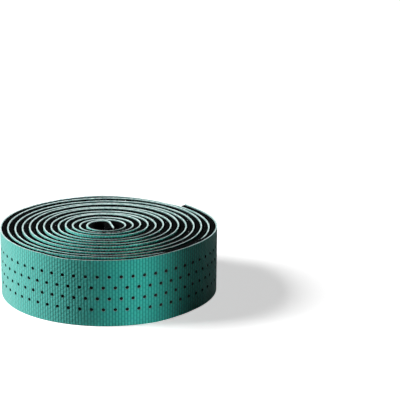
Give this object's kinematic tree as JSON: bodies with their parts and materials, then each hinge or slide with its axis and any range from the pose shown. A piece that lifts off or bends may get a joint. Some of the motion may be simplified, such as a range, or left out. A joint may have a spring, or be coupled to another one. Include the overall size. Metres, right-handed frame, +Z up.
{
  "type": "handlebar tape roll",
  "caption": "Roll of perforated, foam-backed bicycle handlebar tape with an embossed teal cover, wound in a flat spiral with a folded inner end.",
  "frame": {"origin": "middle of the roll's footprint, on the plane that its lower edge rests on", "axes": "+Z up along the roll's axis, across the tape's width; the tape's outer end is at the +X +Y side"},
  "size_m": [0.0962, 0.0946, 0.03],
  "materials": {
    "cover": "embossed matte teal polyurethane with a pale cut edge",
    "foam": "matte black closed-cell foam"
  },
  "bodies": {
    "root": {"tape_cover": "cover", "foam_backing": "foam"}
  },
  "joints": []
}
